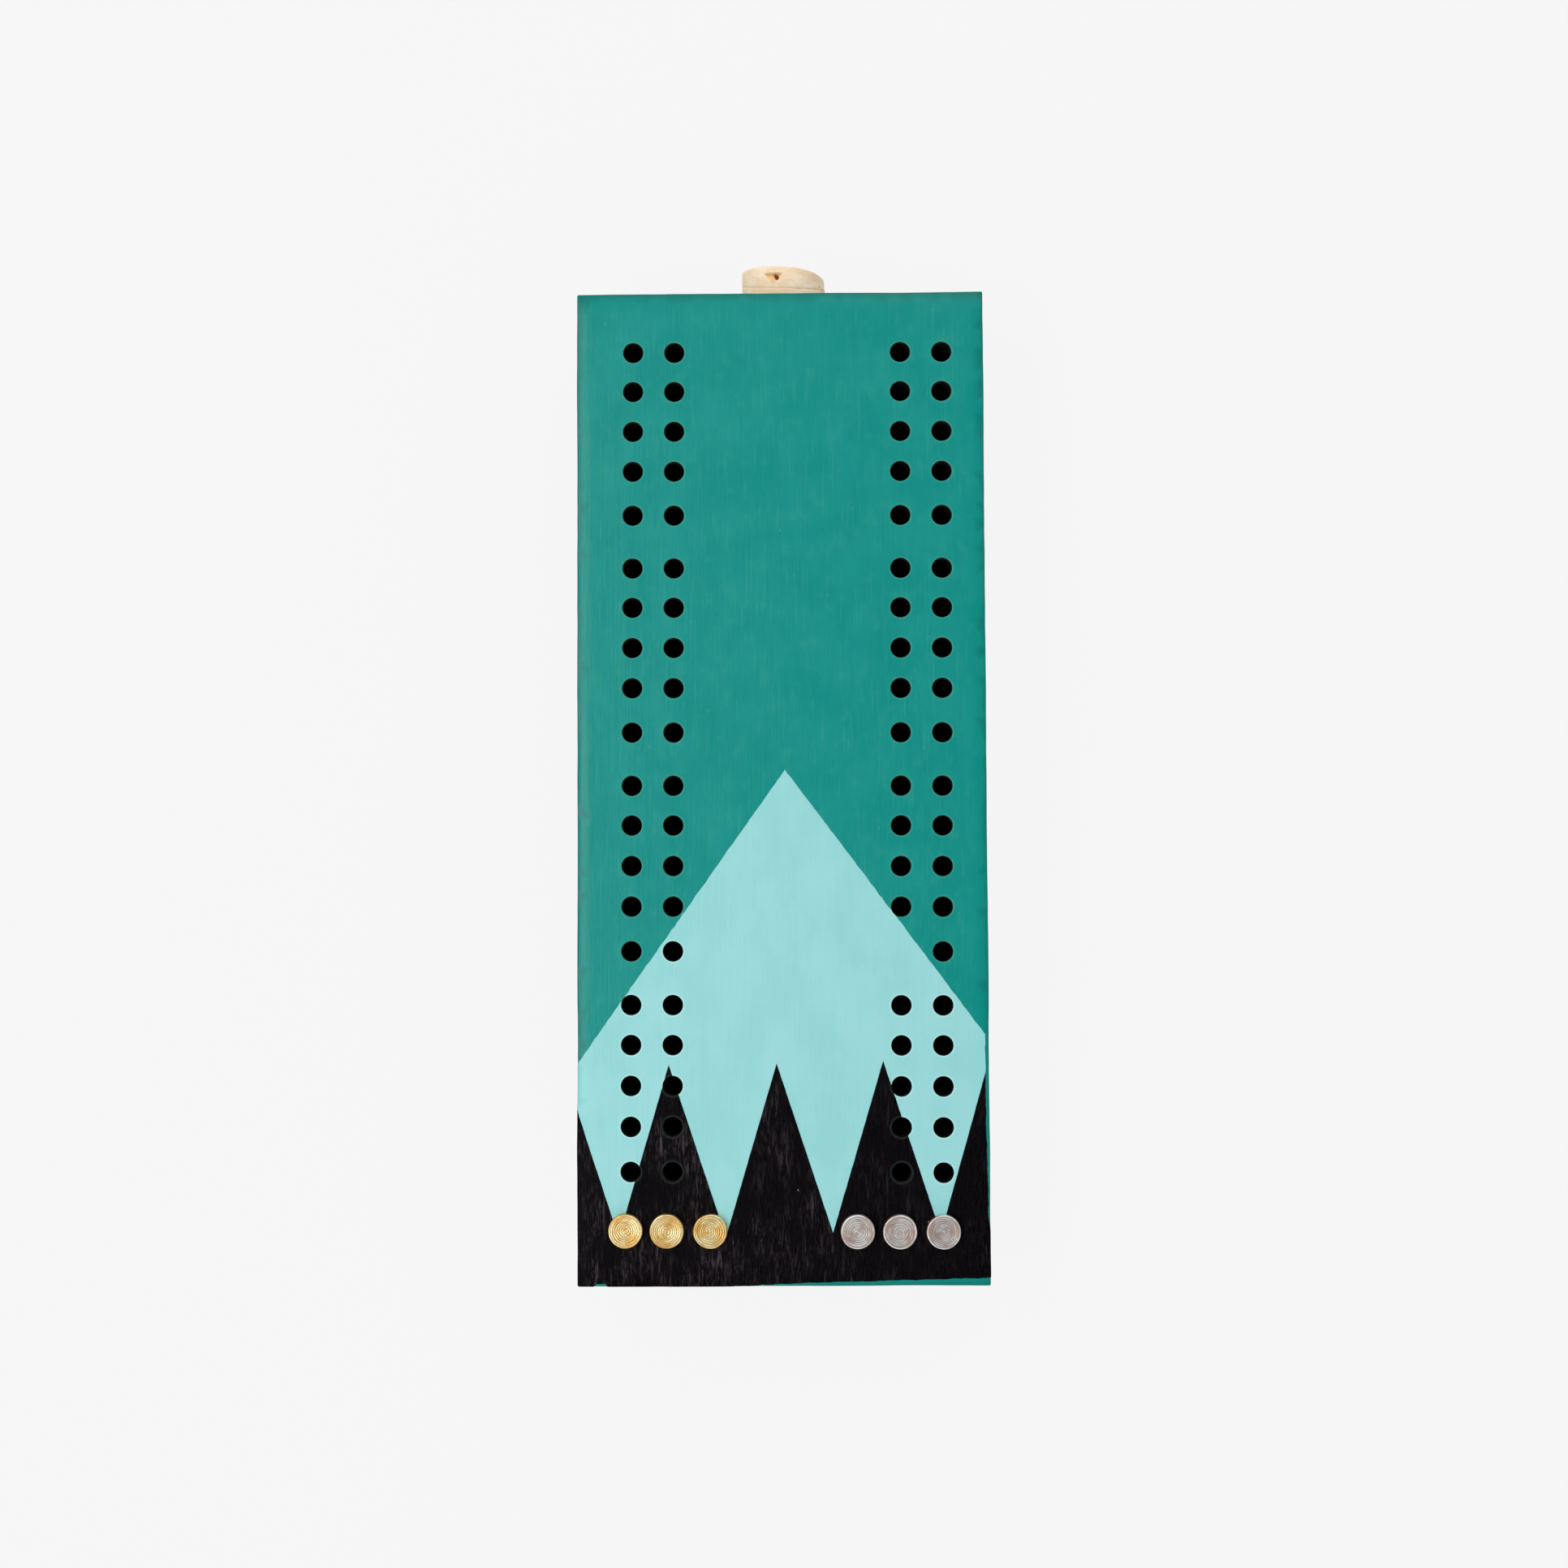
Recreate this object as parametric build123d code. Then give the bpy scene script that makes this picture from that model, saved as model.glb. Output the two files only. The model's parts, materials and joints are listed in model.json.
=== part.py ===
from build123d import *
import os
from math import radians, sin, tan

# A cribbage board: one painted wooden block, drilled with scoring holes in two double rows and
# with a row of start holes that hold six pegs. A wide bore in the head end stores the pegs and
# is closed by a cork.
#
# Frame, in millimetres: the origin is on the underside, in the middle of the block. +X runs
# across the block, +Y towards the corked head end, +Z up through the painted playing face.

# The wooden block. It sat a little turned under the drilling template, so its outline is
# turned against the rows of holes.
BOARD_LENGTH = 246.6
BOARD_WIDTH = 101.6
BOARD_THICKNESS = 38.0
BOARD_TURN = 0.27
EDGE_ROUND = 0.4

# The scoring holes: four columns of four groups, five holes to a group.
COLUMNS = (-37.2, -26.9, 29.55, 39.85)
FIRST_ROW = 108.25
ROW_STEPS = (0.0, 9.85, 19.9, 29.95, 41.0)
GROUPS = 4
GROUP_PITCH = 54.25
UNDRILLED = (2, 14)

# The start holes, one for each peg, in a row near the foot end.
START_ROW = -109.75
BRASS_COLUMNS = (-38.35, -28.2, -17.5)
STEEL_COLUMNS = (18.7, 29.05, 39.75)

# Every peg hole is the same drilled hole, with a 118 degree point and a broken rim.
HOLE_DIAMETER = 4.8
HOLE_DEPTH = 18.5
DRILL_POINT_ANGLE = 118.0
RIM_CHAMFER = 0.2

# A peg: a turned head over a thinner shank.
HEAD_DIAMETER = 8.4
HEAD_HEIGHT = 2.0
HEAD_CHAMFER = 0.4
SHANK_DIAMETER = 4.6
SHANK_LENGTH = 15.0
TIP_CHAMFER = 0.6

# The storage bore in the head end, and the cork that closes it.
BORE_X = 0.0
BORE_DIAMETER = 20.6
BORE_DEPTH = 110.0
BORE_HEIGHT = BOARD_THICKNESS / 2
CORK_DIAMETER = 21.2
CORK_STANDS_OUT = 8.86
CORK_SLANT = 5.4
CORK_END_ROUND = 0.4
PLUG_LENGTH = 15.5
PLUG_DIAMETER = 20.5
PLUG_TIP_DIAMETER = 19.7
CORK_SEAT_GAP = 0.02


def head_end(x):
    """The block's end face on its middle line, at a distance x across the block."""
    turn = radians(BOARD_TURN)
    return BOARD_LENGTH / 2 + x * tan(turn)


def rows():
    """The scoring rows, from the head end to the foot end."""
    return [FIRST_ROW - group * GROUP_PITCH - step for group in range(GROUPS) for step in ROW_STEPS]


def scoring_holes():
    """The centre of each scoring hole that is drilled."""
    return [
        (x, y)
        for column, x in enumerate(COLUMNS)
        for row, y in enumerate(rows())
        if (column, row) != UNDRILLED
    ]


def turned(points):
    """A solid of revolution about Z from (radius, height) points."""
    profile = make_face(Polyline(*[(r, 0, z) for r, z in points], close=True))
    return revolve(profile, Axis.Z)


def peg_hole():
    """The space that one drilled peg hole takes, with its mouth at z = 0."""
    radius = HOLE_DIAMETER / 2
    point_depth = radius / tan(radians(DRILL_POINT_ANGLE / 2))
    above = 1.0
    return turned(
        [
            (0, above),
            (radius + RIM_CHAMFER, above),
            (radius + RIM_CHAMFER, 0),
            (radius, -RIM_CHAMFER),
            (radius, -HOLE_DEPTH),
            (0, -HOLE_DEPTH - point_depth),
        ]
    )


def board():
    """The block with its edges eased, its peg holes and its storage bore."""
    blank = Box(
        BOARD_WIDTH,
        BOARD_LENGTH,
        BOARD_THICKNESS,
        align=(Align.CENTER, Align.CENTER, Align.MIN),
    )
    blank = Rot(0, 0, BOARD_TURN) * fillet(blank.edges(), EDGE_ROUND)
    start_holes = [(x, START_ROW) for x in BRASS_COLUMNS + STEEL_COLUMNS]
    hole = peg_hole()
    holes = [Pos(x, y, BOARD_THICKNESS) * hole for x, y in scoring_holes() + start_holes]
    bore_bottom = Pos(BORE_X, head_end(BORE_X) - BORE_DEPTH, BORE_HEIGHT)
    overshoot = 5.0
    bore = Cylinder(
        BORE_DIAMETER / 2,
        BORE_DEPTH + overshoot,
        align=(Align.CENTER, Align.CENTER, Align.MIN),
    )
    return blank - holes - bore_bottom * Rot(-90, 0, 0) * bore


def peg(x):
    """A peg standing in the start hole at x, with its head down on the playing face."""
    head = HEAD_DIAMETER / 2
    shank = SHANK_DIAMETER / 2
    outline = [
        (0, -SHANK_LENGTH),
        (shank - TIP_CHAMFER, -SHANK_LENGTH),
        (shank, -SHANK_LENGTH + TIP_CHAMFER),
        (shank, 0),
        (head, 0),
        (head, HEAD_HEIGHT - HEAD_CHAMFER),
        (head - HEAD_CHAMFER, HEAD_HEIGHT),
        (0, HEAD_HEIGHT),
    ]
    return Pos(x, START_ROW, BOARD_THICKNESS) * turned(outline)


def cork():
    """The cork: a tapered plug inside the bore and a wider end, cut off at a slant, outside."""
    radius = CORK_DIAMETER / 2
    seat = head_end(BORE_X + radius) + CORK_SEAT_GAP
    far_side = CORK_STANDS_OUT + radius * tan(radians(CORK_SLANT))
    body = turned(
        [
            (0, -PLUG_LENGTH),
            (PLUG_TIP_DIAMETER / 2, -PLUG_LENGTH),
            (PLUG_DIAMETER / 2, 0),
            (radius, 0),
            (radius, far_side),
            (0, far_side),
        ]
    )
    body = Pos(BORE_X, seat, BORE_HEIGHT) * Rot(-90, 0, 0) * body
    waste = Box(
        3 * CORK_DIAMETER,
        CORK_DIAMETER,
        3 * CORK_DIAMETER,
        align=(Align.CENTER, Align.MIN, Align.CENTER),
    )
    slanted_end = Pos(BORE_X, seat + CORK_STANDS_OUT, BORE_HEIGHT) * Rot(0, 0, -CORK_SLANT)
    body = body - slanted_end * waste
    end_face = body.faces().sort_by(Axis.Y)[-1]
    return fillet(end_face.edges(), CORK_END_ROUND)


def write(shape, node):
    """Save one node's solid."""
    export_step(shape, "parts/" + node + ".step")


os.makedirs("parts", exist_ok=True)
write(board(), "board")
write(cork(), "cork_stopper")
for metal, columns in (("brass", BRASS_COLUMNS), ("steel", STEEL_COLUMNS)):
    for number, column_x in enumerate(columns, start=1):
        write(peg(column_x), metal + "_peg_" + str(number))
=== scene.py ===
import json
import math

import bmesh
import bpy
import numpy as np
from mathutils import Matrix, Vector, noise
from mathutils.geometry import delaunay_2d_cdt
from mathutils.kdtree import KDTree


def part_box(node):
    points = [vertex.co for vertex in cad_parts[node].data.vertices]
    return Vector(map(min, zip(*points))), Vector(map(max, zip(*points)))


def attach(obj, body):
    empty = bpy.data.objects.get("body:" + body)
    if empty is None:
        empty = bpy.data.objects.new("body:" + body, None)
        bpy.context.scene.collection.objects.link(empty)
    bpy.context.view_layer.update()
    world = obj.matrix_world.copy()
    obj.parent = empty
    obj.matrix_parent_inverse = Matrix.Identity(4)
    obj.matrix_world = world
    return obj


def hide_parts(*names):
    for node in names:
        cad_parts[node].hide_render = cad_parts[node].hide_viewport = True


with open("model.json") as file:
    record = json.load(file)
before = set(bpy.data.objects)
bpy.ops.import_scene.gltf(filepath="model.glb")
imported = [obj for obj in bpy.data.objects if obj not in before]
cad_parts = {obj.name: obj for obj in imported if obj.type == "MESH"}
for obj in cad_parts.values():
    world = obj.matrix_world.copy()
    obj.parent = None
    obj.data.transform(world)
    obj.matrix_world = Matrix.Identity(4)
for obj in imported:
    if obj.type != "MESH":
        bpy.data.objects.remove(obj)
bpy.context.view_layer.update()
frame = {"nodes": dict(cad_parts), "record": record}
MM = 0.001

# ---------------------------------------------------------------------------------------------
# Sizes, in metres. The block's place and size come from the frame.

BLOCK_LOW, BLOCK_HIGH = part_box("board")
BLOCK_TOP = BLOCK_HIGH.z
BLOCK_TURN = math.radians(0.27)
EDGE_ROUND = 0.4 * MM

# The paint is modelled as layers on the teal block, and the topmost one ends just under the
# height at which the peg heads rest.
TEAL_BELOW_TOP = 0.12 * MM
AQUA_THICKNESS = 0.07 * MM
BLACK_THICKNESS = 0.10 * MM
PAINT_SINKS_IN = 0.05 * MM

# Painted outlines on the playing face, across and along the block. They run past its edges.
AQUA_PEAK = (0.8 * MM, 3.75 * MM)
AQUA_LEFT = (-52.6 * MM, -71.9 * MM)
AQUA_RIGHT = (50.2 * MM, -61.6 * MM)
ZIGZAG = [
    (-52.6 * MM, -74.0 * MM),
    (-40.1 * MM, -111.5 * MM),
    (-27.9 * MM, -69.2 * MM),
    (-13.7 * MM, -111.4 * MM),
    (-1.25 * MM, -68.8 * MM),
    (12.65 * MM, -110.25 * MM),
    (25.0 * MM, -68.1 * MM),
    (39.1 * MM, -110.3 * MM),
    (50.25 * MM, -70.9 * MM),
]
TAPE_EDGE = [
    (50.3 * MM, -86.5 * MM),
    (50.65 * MM, -96.4 * MM),
    (50.85 * MM, -106.3 * MM),
    (51.9 * MM, -114.0 * MM),
    (51.9 * MM, -121.05 * MM),
    (50.3 * MM, -121.1 * MM),
    (37.4 * MM, -121.6 * MM),
    (7.5 * MM, -122.4 * MM),
    (-22.4 * MM, -123.9 * MM),
    (-42.4 * MM, -124.1 * MM),
    (-43.4 * MM, -122.75 * MM),
    (-45.6 * MM, -122.9 * MM),
    (-46.6 * MM, -124.1 * MM),
    (-52.6 * MM, -125.2 * MM),
]

# The rim of a drilled hole: how far out from the wall, and how high.
RIM = [
    (0.85 * MM, 0.0),
    (0.60 * MM, 0.015 * MM),
    (0.40 * MM, 0.025 * MM),
    (0.25 * MM, 0.005 * MM),
    (0.14 * MM, -0.07 * MM),
    (0.06 * MM, -0.19 * MM),
    (0.0, -0.38 * MM),
]
PAINT_STOPS_AT = 0.12 * MM
HOLE_SIDES = 48
HOLE_DEPTH = 18.5 * MM
DRILL_POINT = math.radians(59)

# The storage bore in the head end.
BORE_X = 0.0
BORE_HEIGHT = BLOCK_TOP / 2
BORE_RADIUS = 10.3 * MM
BORE_DEPTH = 110.0 * MM
BORE_SIDES = 96
BORE_RIM = 0.25 * MM
BORE_FLAT_RING = 0.5 * MM
BORE_KEPT_CLEAR = 1.5 * MM

# How far from true the block's hand-finished sides and face are.
SIDE_WAVE, SIDE_RIPPLE = 0.16 * MM, 0.05 * MM
FACE_WAVE, FACE_RIPPLE = 0.014 * MM, 0.006 * MM
FACE_CROWN = 0.025 * MM

# The cork.
CORK_LOW, CORK_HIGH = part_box("cork_stopper")
CORK_RADIUS = (CORK_HIGH.x - CORK_LOW.x) / 2
CORK_PLUG = 15.5 * MM
CORK_SEAT = CORK_LOW.y + CORK_PLUG
CORK_SLANT = math.radians(5.4)
CORK_LEAN = 0.28 * MM
CORK_TIP_RADIUS = 9.85 * MM
CORK_PLUG_RADIUS = 10.2 * MM
CORK_BEVEL = 0.5 * MM
CORK_BEND = 0.45 * MM
CORK_SIDES = 360
CORK_BULGE = 0.35 * MM
CREASE_FROM_SEAT = 3.3 * MM
CREASE_BOW = 2.4 * MM
CREASE_SIZE = 0.16 * MM

# The pegs.
PEGS = [name for name in frame["nodes"] if name.endswith(("_peg_1", "_peg_2", "_peg_3"))]
SHANK_RADIUS = 2.3 * MM
TIP_CHAMFER = 0.6 * MM
HEAD_CHAMFER = 0.38 * MM
GROOVE_DEPTH = 0.022 * MM
DISH_DEPTH = 0.05 * MM
GROOVE_STEPS = 72
PEG_SIDES = 144
# How much of the tool marks and painted glint the head's side and rim get, against its face.
RIM_SWIRL_AND_GLINT = 0.7

# The coats on the playing face, and the bare woods' places in the block's list of materials.
TEAL, AQUA, BLACK = 0, 1, 2
RIM_WOOD, HOLE_WOOD, BORE_WOOD = 1, 2, 3

rng = np.random.default_rng(7)


# ---------------------------------------------------------------------------------------------
# Small helpers


def smooth_step(value, low, high):
    """0 below low, 1 above high, and a smooth rise between."""
    t = np.clip((value - low) / (high - low), 0, 1)
    return t * t * (3 - 2 * t)


def noise_at(points, cell, seed=0.0):
    """Smooth noise from about -1 to 1 at each point, with cells of the given size on each axis."""
    offset = Vector((seed * 17.3, seed * 5.1, seed * 9.7))
    size = Vector(cell)
    values = [noise.noise(Vector((p[0] / size.x, p[1] / size.y, p[2] / size.z)) + offset) for p in points]
    return np.array(values)


def triangulate(points, edges, inside):
    """Triangles over flat points that keep the given edges, where inside() accepts their middle."""
    far = 2 * np.abs(points).max(axis=0)
    frame_points = [far * corner for corner in ((-1, -1), (1, -1), (1, 1), (-1, 1))]
    flat = [Vector(p) for p in np.array(list(points) + frame_points) / MM]
    found, _, faces, *_ = delaunay_2d_cdt(flat, edges, [], 0, 1e-5)
    found = np.array(found) * MM
    faces = np.array(faces)
    faces = faces[inside(found[faces].mean(axis=1))]
    used, faces = np.unique(faces, return_inverse=True)
    return found[used], faces.reshape(-1, 3)


def loop_edges(first, count, closed=True):
    """Index pairs that join consecutive points."""
    last = count if closed else count - 1
    return [(first + i, first + (i + 1) % count) for i in range(last)]


def in_polygon(points, polygon):
    """For each flat point, whether it lies inside the polygon."""
    inside = np.zeros(len(points), bool)
    x, y = points[:, 0], points[:, 1]
    for (x0, y0), (x1, y1) in zip(polygon, np.roll(polygon, -1, axis=0)):
        crosses = (y0 > y) != (y1 > y)
        rise = y1 - y0 if y1 != y0 else 1.0
        inside ^= crosses & (x < (x1 - x0) * (y - y0) / rise + x0)
    return inside


def open_sides(triangles):
    """The sides of the triangles that no other triangle shares, as pairs of point indices."""
    sides = np.concatenate([triangles[:, [0, 1]], triangles[:, [1, 2]], triangles[:, [2, 0]]])
    known = {tuple(side) for side in sides.tolist()}
    return sorted((a, b) for a, b in known if (b, a) not in known)


def loop_from(start, sides):
    """The closed loop of point indices that follows the sides from a start."""
    following = dict(sides)
    loop = [start]
    while following[loop[-1]] != start:
        loop.append(following[loop[-1]])
    return loop


class Skin:
    """Surfaces gathered into one mesh and welded where they meet."""

    def __init__(self):
        self.points, self.faces, self.slots = [], [], []
        self.count = 0

    def add(self, points, faces, slot=0):
        self.points.append(np.asarray(points, float))
        self.faces += [[int(i) + self.count for i in face] for face in faces]
        self.slots += [slot] * len(faces)
        self.count += len(points)

    def build(self, name, materials, sharp=35, move=None, marks=None):
        """The welded object. move() shifts the points last, and marks() gives named point values."""
        mesh = bpy.data.meshes.new(name)
        mesh.from_pydata(np.concatenate(self.points).tolist(), [], self.faces)
        for material in materials:
            mesh.materials.append(material)
        mesh.polygons.foreach_set("material_index", self.slots)
        work = bmesh.new()
        work.from_mesh(mesh)
        bmesh.ops.remove_doubles(work, verts=work.verts, dist=0.002 * MM)
        bmesh.ops.dissolve_degenerate(work, edges=work.edges, dist=0.0005 * MM)
        bmesh.ops.recalc_face_normals(work, faces=work.faces)
        open_edges = sum(not edge.is_manifold for edge in work.edges)
        work.to_mesh(mesh)
        work.free()
        print(name, len(mesh.polygons), "faces,", open_edges, "open edges")
        co = np.empty(len(mesh.vertices) * 3)
        mesh.vertices.foreach_get("co", co)
        co = co.reshape(-1, 3)
        if marks:
            for label, values in marks(co).items():
                layer = mesh.attributes.new(label, "FLOAT", "POINT")
                layer.data.foreach_set("value", values.astype(np.float32))
        if move:
            mesh.vertices.foreach_set("co", move(co).ravel())
        mesh.shade_smooth()
        mesh.set_sharp_from_angle(angle=math.radians(sharp))
        mesh.update()
        obj = bpy.data.objects.new(name, mesh)
        bpy.context.scene.collection.objects.link(obj)
        return obj


def by_place(points, values):
    """A marks() for Skin.build() that gives each welded point the values of the nearest given point."""
    tree = KDTree(len(points))
    for i, point in enumerate(points.tolist()):
        tree.insert(point, i)
    tree.balance()

    def marks(placed):
        nearest = [tree.find(point)[1] for point in placed.tolist()]
        return {label: value[nearest] for label, value in values.items()}

    return marks


def ring_strip(rings, closed=True):
    """Quads that join rings of equal length, as index lists into the rings' points in order."""
    count = len(rings[0])
    faces = []
    for row in range(len(rings) - 1):
        for i in range(count if closed else count - 1):
            j = (i + 1) % count
            faces.append([row * count + i, row * count + j, (row + 1) * count + j, (row + 1) * count + i])
    return faces


def fan(first, count, middle):
    """Triangles that join a ring of points to the point in its middle."""
    return [[first + i, first + (i + 1) % count, middle] for i in range(count)]


# ---------------------------------------------------------------------------------------------
# Materials


def srgb(red, green, blue):
    """A screen colour from 0 to 255 as the linear colour that a shader takes."""
    values = [v / 255 for v in (red, green, blue)]
    return [v / 12.92 if v <= 0.04045 else ((v + 0.055) / 1.055) ** 2.4 for v in values] + [1.0]


class Finish:
    """A material, with short calls for the nodes that are used here. Patterns are laid out in metres."""

    def __init__(self, name, **shader):
        self.material = bpy.data.materials.new(name)
        self.material.use_nodes = True
        self.tree = self.material.node_tree
        self.shader = self.tree.nodes["Principled BSDF"]
        for socket, value in shader.items():
            self.shader.inputs[socket.replace("_", " ")].default_value = value
        self.place = self.node("ShaderNodeTexCoord").outputs["Object"]

    def node(self, kind, **settings):
        node = self.tree.nodes.new(kind)
        for key, value in settings.items():
            setattr(node, key, value)
        return node

    def put(self, value, socket):
        if isinstance(value, bpy.types.NodeSocket):
            self.tree.links.new(value, socket)
        else:
            socket.default_value = value

    def noise(self, cell, detail=3.0, rough=0.5, shift=0.0, warp=0.0):
        """Noise from 0 to 1 whose cells have the given size along X, Y and Z."""
        scaled = self.node("ShaderNodeMapping")
        self.put(self.place, scaled.inputs["Vector"])
        scaled.inputs["Scale"].default_value = [1 / size for size in cell]
        scaled.inputs["Location"].default_value = (shift, shift * 0.7, shift * 1.3)
        node = self.node("ShaderNodeTexNoise")
        self.put(scaled.outputs["Vector"], node.inputs["Vector"])
        for key, value in (("Scale", 1.0), ("Detail", detail), ("Roughness", rough), ("Distortion", warp)):
            node.inputs[key].default_value = value
        return node.outputs["Fac"]

    def across(self, low, high):
        """Rises from 0 to 1 as X goes from low to high."""
        split = self.node("ShaderNodeSeparateXYZ")
        self.put(self.place, split.inputs["Vector"])
        return self.span(split.outputs["X"], low, high)

    def cells(self, cell, shift=0.0):
        """Distance to the nearest of scattered points, one to a cell of the given size."""
        scaled = self.node("ShaderNodeMapping")
        self.put(self.place, scaled.inputs["Vector"])
        scaled.inputs["Scale"].default_value = [1 / size for size in cell]
        scaled.inputs["Location"].default_value = (shift, shift, shift)
        node = self.node("ShaderNodeTexVoronoi")
        self.put(scaled.outputs["Vector"], node.inputs["Vector"])
        node.inputs["Scale"].default_value = 1.0
        return node.outputs["Distance"]

    def span(self, value, low, high, out_low=0.0, out_high=1.0):
        """value, from low to high, turned smoothly into out_low to out_high."""
        node = self.node("ShaderNodeMapRange", interpolation_type="SMOOTHSTEP")
        self.put(value, node.inputs["Value"])
        for key, number in (("From Min", low), ("From Max", high), ("To Min", out_low), ("To Max", out_high)):
            node.inputs[key].default_value = number
        return node.outputs["Result"]

    def calc(self, operation, first, second):
        node = self.node("ShaderNodeMath", operation=operation)
        self.put(first, node.inputs[0])
        self.put(second, node.inputs[1])
        return node.outputs[0]

    def mix(self, share, first, second):
        """The first colour, with a share of the second."""
        node = self.node("ShaderNodeMix", data_type="RGBA")
        self.put(share, node.inputs["Factor"])
        self.put(first, node.inputs["A"])
        self.put(second, node.inputs["B"])
        return node.outputs["Result"]

    def mark(self, name):
        """A value that the mesh holds at its points."""
        return self.node("ShaderNodeAttribute", attribute_name=name).outputs["Fac"]

    def bump(self, height, distance, under=None):
        """Relief of the given depth, on top of the relief under it."""
        node = self.node("ShaderNodeBump")
        node.inputs["Distance"].default_value = distance
        self.put(height, node.inputs["Height"])
        if under:
            self.put(under, node.inputs["Normal"])
        return node.outputs["Normal"]

    def done(self, colour, roughness, normal):
        self.put(colour, self.shader.inputs["Base Color"])
        self.put(roughness, self.shader.inputs["Roughness"])
        self.put(normal, self.shader.inputs["Normal"])
        return self.material


def teal_paint():
    """Satin teal paint brushed along the wood. By the edges it is glossier, and a painted shade makes it
    darker and deeper there, where the sheen falls off.
    """
    f = Finish("teal_paint", Specular_IOR_Level=0.2)
    grain = f.noise((0.7 * MM, 22 * MM, 9 * MM), detail=4, rough=0.6)
    patches = f.noise((11 * MM, 14 * MM, 12 * MM), detail=3, shift=3.0)
    cloud = f.noise((3 * MM, 4 * MM, 4 * MM), detail=4, rough=0.6, shift=11.0)
    fine = f.noise((0.35 * MM, 2.5 * MM, 1 * MM), detail=2, shift=8.0)
    colour = f.mix(f.span(patches, 0.3, 0.7), srgb(4, 134, 126), srgb(12, 139, 131))
    colour = f.mix(f.span(cloud, 0.5, 0.75, 0.0, 0.55), colour, srgb(36, 143, 130))
    colour = f.mix(f.span(cloud, 0.5, 0.28, 0.0, 0.4), colour, srgb(2, 131, 128))
    streaks = f.noise((0.5 * MM, 11 * MM, 9 * MM), detail=4, rough=0.6, shift=15.0)
    colour = f.mix(f.span(streaks, 0.54, 0.74, 0.0, 0.4), colour, srgb(56, 150, 136))
    colour = f.mix(f.span(grain, 0.50, 0.28, 0.0, 0.4), colour, srgb(2, 130, 123))
    specks = f.cells((6 * MM, 9 * MM, 6 * MM), shift=2.5)
    colour = f.mix(f.span(specks, 0.055, 0.03, 0.0, 0.2), colour, srgb(110, 160, 145))
    # Painted shade: darker, deeper teal within 5 mm of the edges where the sheen falls off, and darker still
    # on the rounded corner.
    colour = f.mix(f.calc("MULTIPLY", f.mark("edge"), 0.85), colour, srgb(0, 133, 124))
    colour = f.mix(f.calc("MULTIPLY", f.mark("corner"), 0.8), colour, srgb(0, 104, 94))
    # Painted highlight: a lighter ring on each hole's raised rim.
    colour = f.mix(f.calc("MULTIPLY", f.mark("rim"), 0.45), colour, srgb(52, 150, 132))
    relief = f.bump(grain, 0.05 * MM)
    relief = f.bump(fine, 0.02 * MM, relief)
    haze = f.span(patches, 0.2, 0.8, 0.30, 0.38)
    return f.done(colour, f.calc("SUBTRACT", haze, f.calc("MULTIPLY", f.mark("edge"), 0.05)), relief)


def aqua_paint():
    """Satin pale aqua paint, with faint brush marks along the wood."""
    f = Finish("aqua_paint", Specular_IOR_Level=0.22)
    grain = f.noise((0.8 * MM, 20 * MM, 9 * MM), detail=4, rough=0.6, shift=5.0)
    patches = f.noise((9 * MM, 14 * MM, 12 * MM), detail=3, shift=1.0)
    fine = f.noise((0.4 * MM, 3 * MM, 1 * MM), detail=2, shift=8.0)
    colour = f.mix(f.span(patches, 0.3, 0.7), srgb(142, 205, 206), srgb(150, 209, 210))
    colour = f.mix(f.span(grain, 0.52, 0.8, 0.0, 0.3), colour, srgb(162, 215, 214))
    colour = f.mix(f.span(grain, 0.48, 0.25, 0.0, 0.3), colour, srgb(132, 200, 202))
    # Painted shade: darker, deeper aqua by the edges where the sheen falls off, and darker still on the
    # rounded corner.
    colour = f.mix(f.calc("MULTIPLY", f.mark("edge"), 0.3), colour, srgb(128, 204, 202))
    colour = f.mix(f.calc("MULTIPLY", f.mark("corner"), 0.5), colour, srgb(96, 170, 170))
    # Painted highlight: a lighter ring on each hole's raised rim.
    colour = f.mix(f.calc("MULTIPLY", f.mark("rim"), 0.5), colour, srgb(178, 230, 228))
    relief = f.bump(grain, 0.05 * MM)
    relief = f.bump(fine, 0.02 * MM, relief)
    return f.done(colour, f.span(patches, 0.2, 0.8, 0.32, 0.40), relief)


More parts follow.
